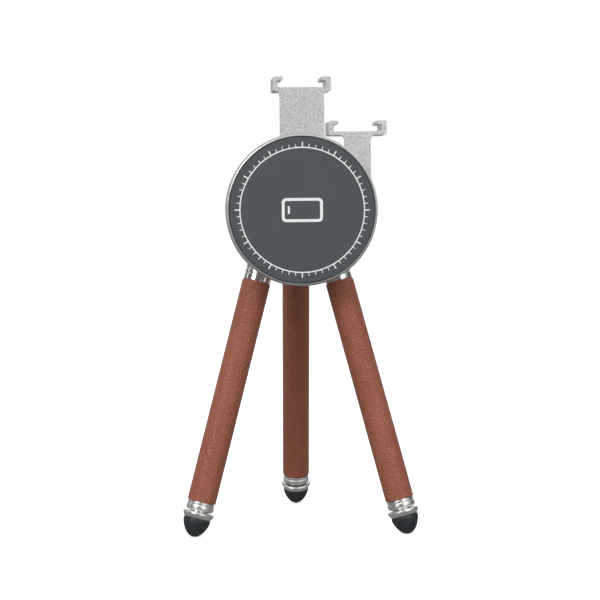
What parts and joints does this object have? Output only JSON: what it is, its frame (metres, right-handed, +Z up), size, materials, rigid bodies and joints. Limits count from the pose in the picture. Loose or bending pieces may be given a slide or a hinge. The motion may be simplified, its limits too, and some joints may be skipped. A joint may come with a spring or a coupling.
{
  "type": "phone tripod",
  "caption": "Tabletop phone tripod with folding, extending leather-wrapped legs, a tilting magnetic phone disc and cold-shoe arms that rise behind it.",
  "frame": {"origin": "on the surface that the feet stand on, below the middle of the object's outline", "axes": "+Z up; the magnetic face looks along -Y; the side shoe is on the +X side"},
  "size_m": [0.0924, 0.084, 0.1786],
  "materials": {
    "sandblasted_aluminium": "satin, sand-blasted, clear anodised",
    "nickel": "bright turned nickel plate",
    "tube_steel": "drawn tube, fine lengthwise brushing",
    "screw_steel": "plated steel",
    "leather": "red-brown grained leather, satin",
    "rubber": "charcoal moulded rubber, matt",
    "slate_face": "soft-touch slate face with a white printed dial",
    "black_plastic": "moulded, matt",
    "acetal": "natural white acetal",
    "magnet": "nickel-plated magnet segments"
  },
  "bodies": {
    "leg_hub": {"leg_hub": "sandblasted_aluminium", "hinge_screw_left": "screw_steel", "hinge_screw_right": "screw_steel", "hinge_screw_rear": "screw_steel", "pan_washer": "acetal"},
    "left_leg": {"leg_knuckle_left": "nickel", "upper_ferrule_left": "nickel", "leg_tube_left": "tube_steel", "leather_wrap_left": "leather", "lower_ferrule_left": "nickel"},
    "left_leg_end": {"inner_tube_left": "tube_steel", "tube_bush_left": "acetal", "grip_ring_left": "nickel", "rubber_foot_left": "rubber"},
    "right_leg": {"leg_knuckle_right": "nickel", "upper_ferrule_right": "nickel", "leg_tube_right": "tube_steel", "leather_wrap_right": "leather", "lower_ferrule_right": "nickel"},
    "right_leg_end": {"inner_tube_right": "tube_steel", "tube_bush_right": "acetal", "grip_ring_right": "nickel", "rubber_foot_right": "rubber"},
    "rear_leg": {"leg_knuckle_rear": "nickel", "upper_ferrule_rear": "nickel", "leg_tube_rear": "tube_steel", "leather_wrap_rear": "leather", "lower_ferrule_rear": "nickel"},
    "rear_leg_end": {"inner_tube_rear": "tube_steel", "tube_bush_rear": "acetal", "grip_ring_rear": "nickel", "rubber_foot_rear": "rubber"},
    "pan_yoke": {"pan_yoke": "sandblasted_aluminium", "pan_bolt": "screw_steel", "tilt_bolt": "screw_steel"},
    "tilt_knob": {"tilt_knob": "black_plastic"},
    "head": {"head_housing": "sandblasted_aluminium", "rear_cover": "sandblasted_aluminium", "friction_ring": "acetal", "top_shoe_bracket": "sandblasted_aluminium", "arm_spring": "screw_steel", "cover_screw_upper_left": "screw_steel", "cover_screw_upper_right": "screw_steel", "cover_screw_lower_left": "screw_steel", "cover_screw_lower_right": "screw_steel", "bracket_screw_left": "screw_steel", "bracket_screw_right": "screw_steel"},
    "side_arm": {"side_shoe_arm": "sandblasted_aluminium", "arm_stop_pin": "screw_steel"},
    "disc": {"bezel_cup": "sandblasted_aluminium", "face_plate": "slate_face", "magnet_ring": "magnet", "magnet_carrier": "black_plastic", "steel_backing": "screw_steel", "disc_spindle": "screw_steel", "spindle_nut": "screw_steel"}
  },
  "joints": [
    {"name": "left_leg_fold", "type": "hinge", "parent": "leg_hub", "child": "left_leg", "pos_m": [-0.01224, -0.01742, 0.11215], "axis": [0.4633, -0.8862, 0], "range_deg": [0, 16.9]},
    {"name": "left_leg_extend", "type": "slide", "parent": "left_leg", "child": "left_leg_end", "axis": [-0.2576, -0.1347, -0.9568], "range_m": [0, 0.055]},
    {"name": "right_leg_fold", "type": "hinge", "parent": "leg_hub", "child": "right_leg", "pos_m": [0.01355, -0.01851, 0.11215], "axis": [0.5358, 0.8443, 0], "range_deg": [0, 16.9]},
    {"name": "right_leg_extend", "type": "slide", "parent": "right_leg", "child": "right_leg_end", "axis": [0.2454, -0.1558, -0.9568], "range_m": [0, 0.055]},
    {"name": "rear_leg_fold", "type": "hinge", "parent": "leg_hub", "child": "rear_leg", "pos_m": [0.00159, 0.00436, 0.11215], "axis": [-0.9991, 0.0419, 0], "range_deg": [0, 16.9]},
    {"name": "rear_leg_extend", "type": "slide", "parent": "rear_leg", "child": "rear_leg_end", "axis": [0.0122, 0.2904, -0.9568], "range_m": [0, 0.055]},
    {"name": "head_pan", "type": "hinge", "parent": "leg_hub", "child": "pan_yoke", "pos_m": [0.00097, -0.01052, 0.1184], "axis": [0, 0, 1], "continuous": true},
    {"name": "head_tilt", "type": "hinge", "parent": "pan_yoke", "child": "head", "pos_m": [0.00097, -0.01452, 0.12965], "axis": [-1, 0, 0], "range_deg": [0, 90]},
    {"name": "tilt_knob_turn", "type": "hinge", "parent": "pan_yoke", "child": "tilt_knob", "pos_m": [0.01197, -0.01452, 0.12965], "axis": [1, 0, 0], "range_deg": [-180, 30]},
    {"name": "disc_spin", "type": "hinge", "parent": "head", "child": "disc", "pos_m": [0.00097, -0.04202, 0.1272], "axis": [0, 1, 0], "continuous": true},
    {"name": "side_shoe_slide", "type": "slide", "parent": "head", "child": "side_arm", "axis": [0, 0, 1], "range_m": [0, 0.01]}
  ]
}
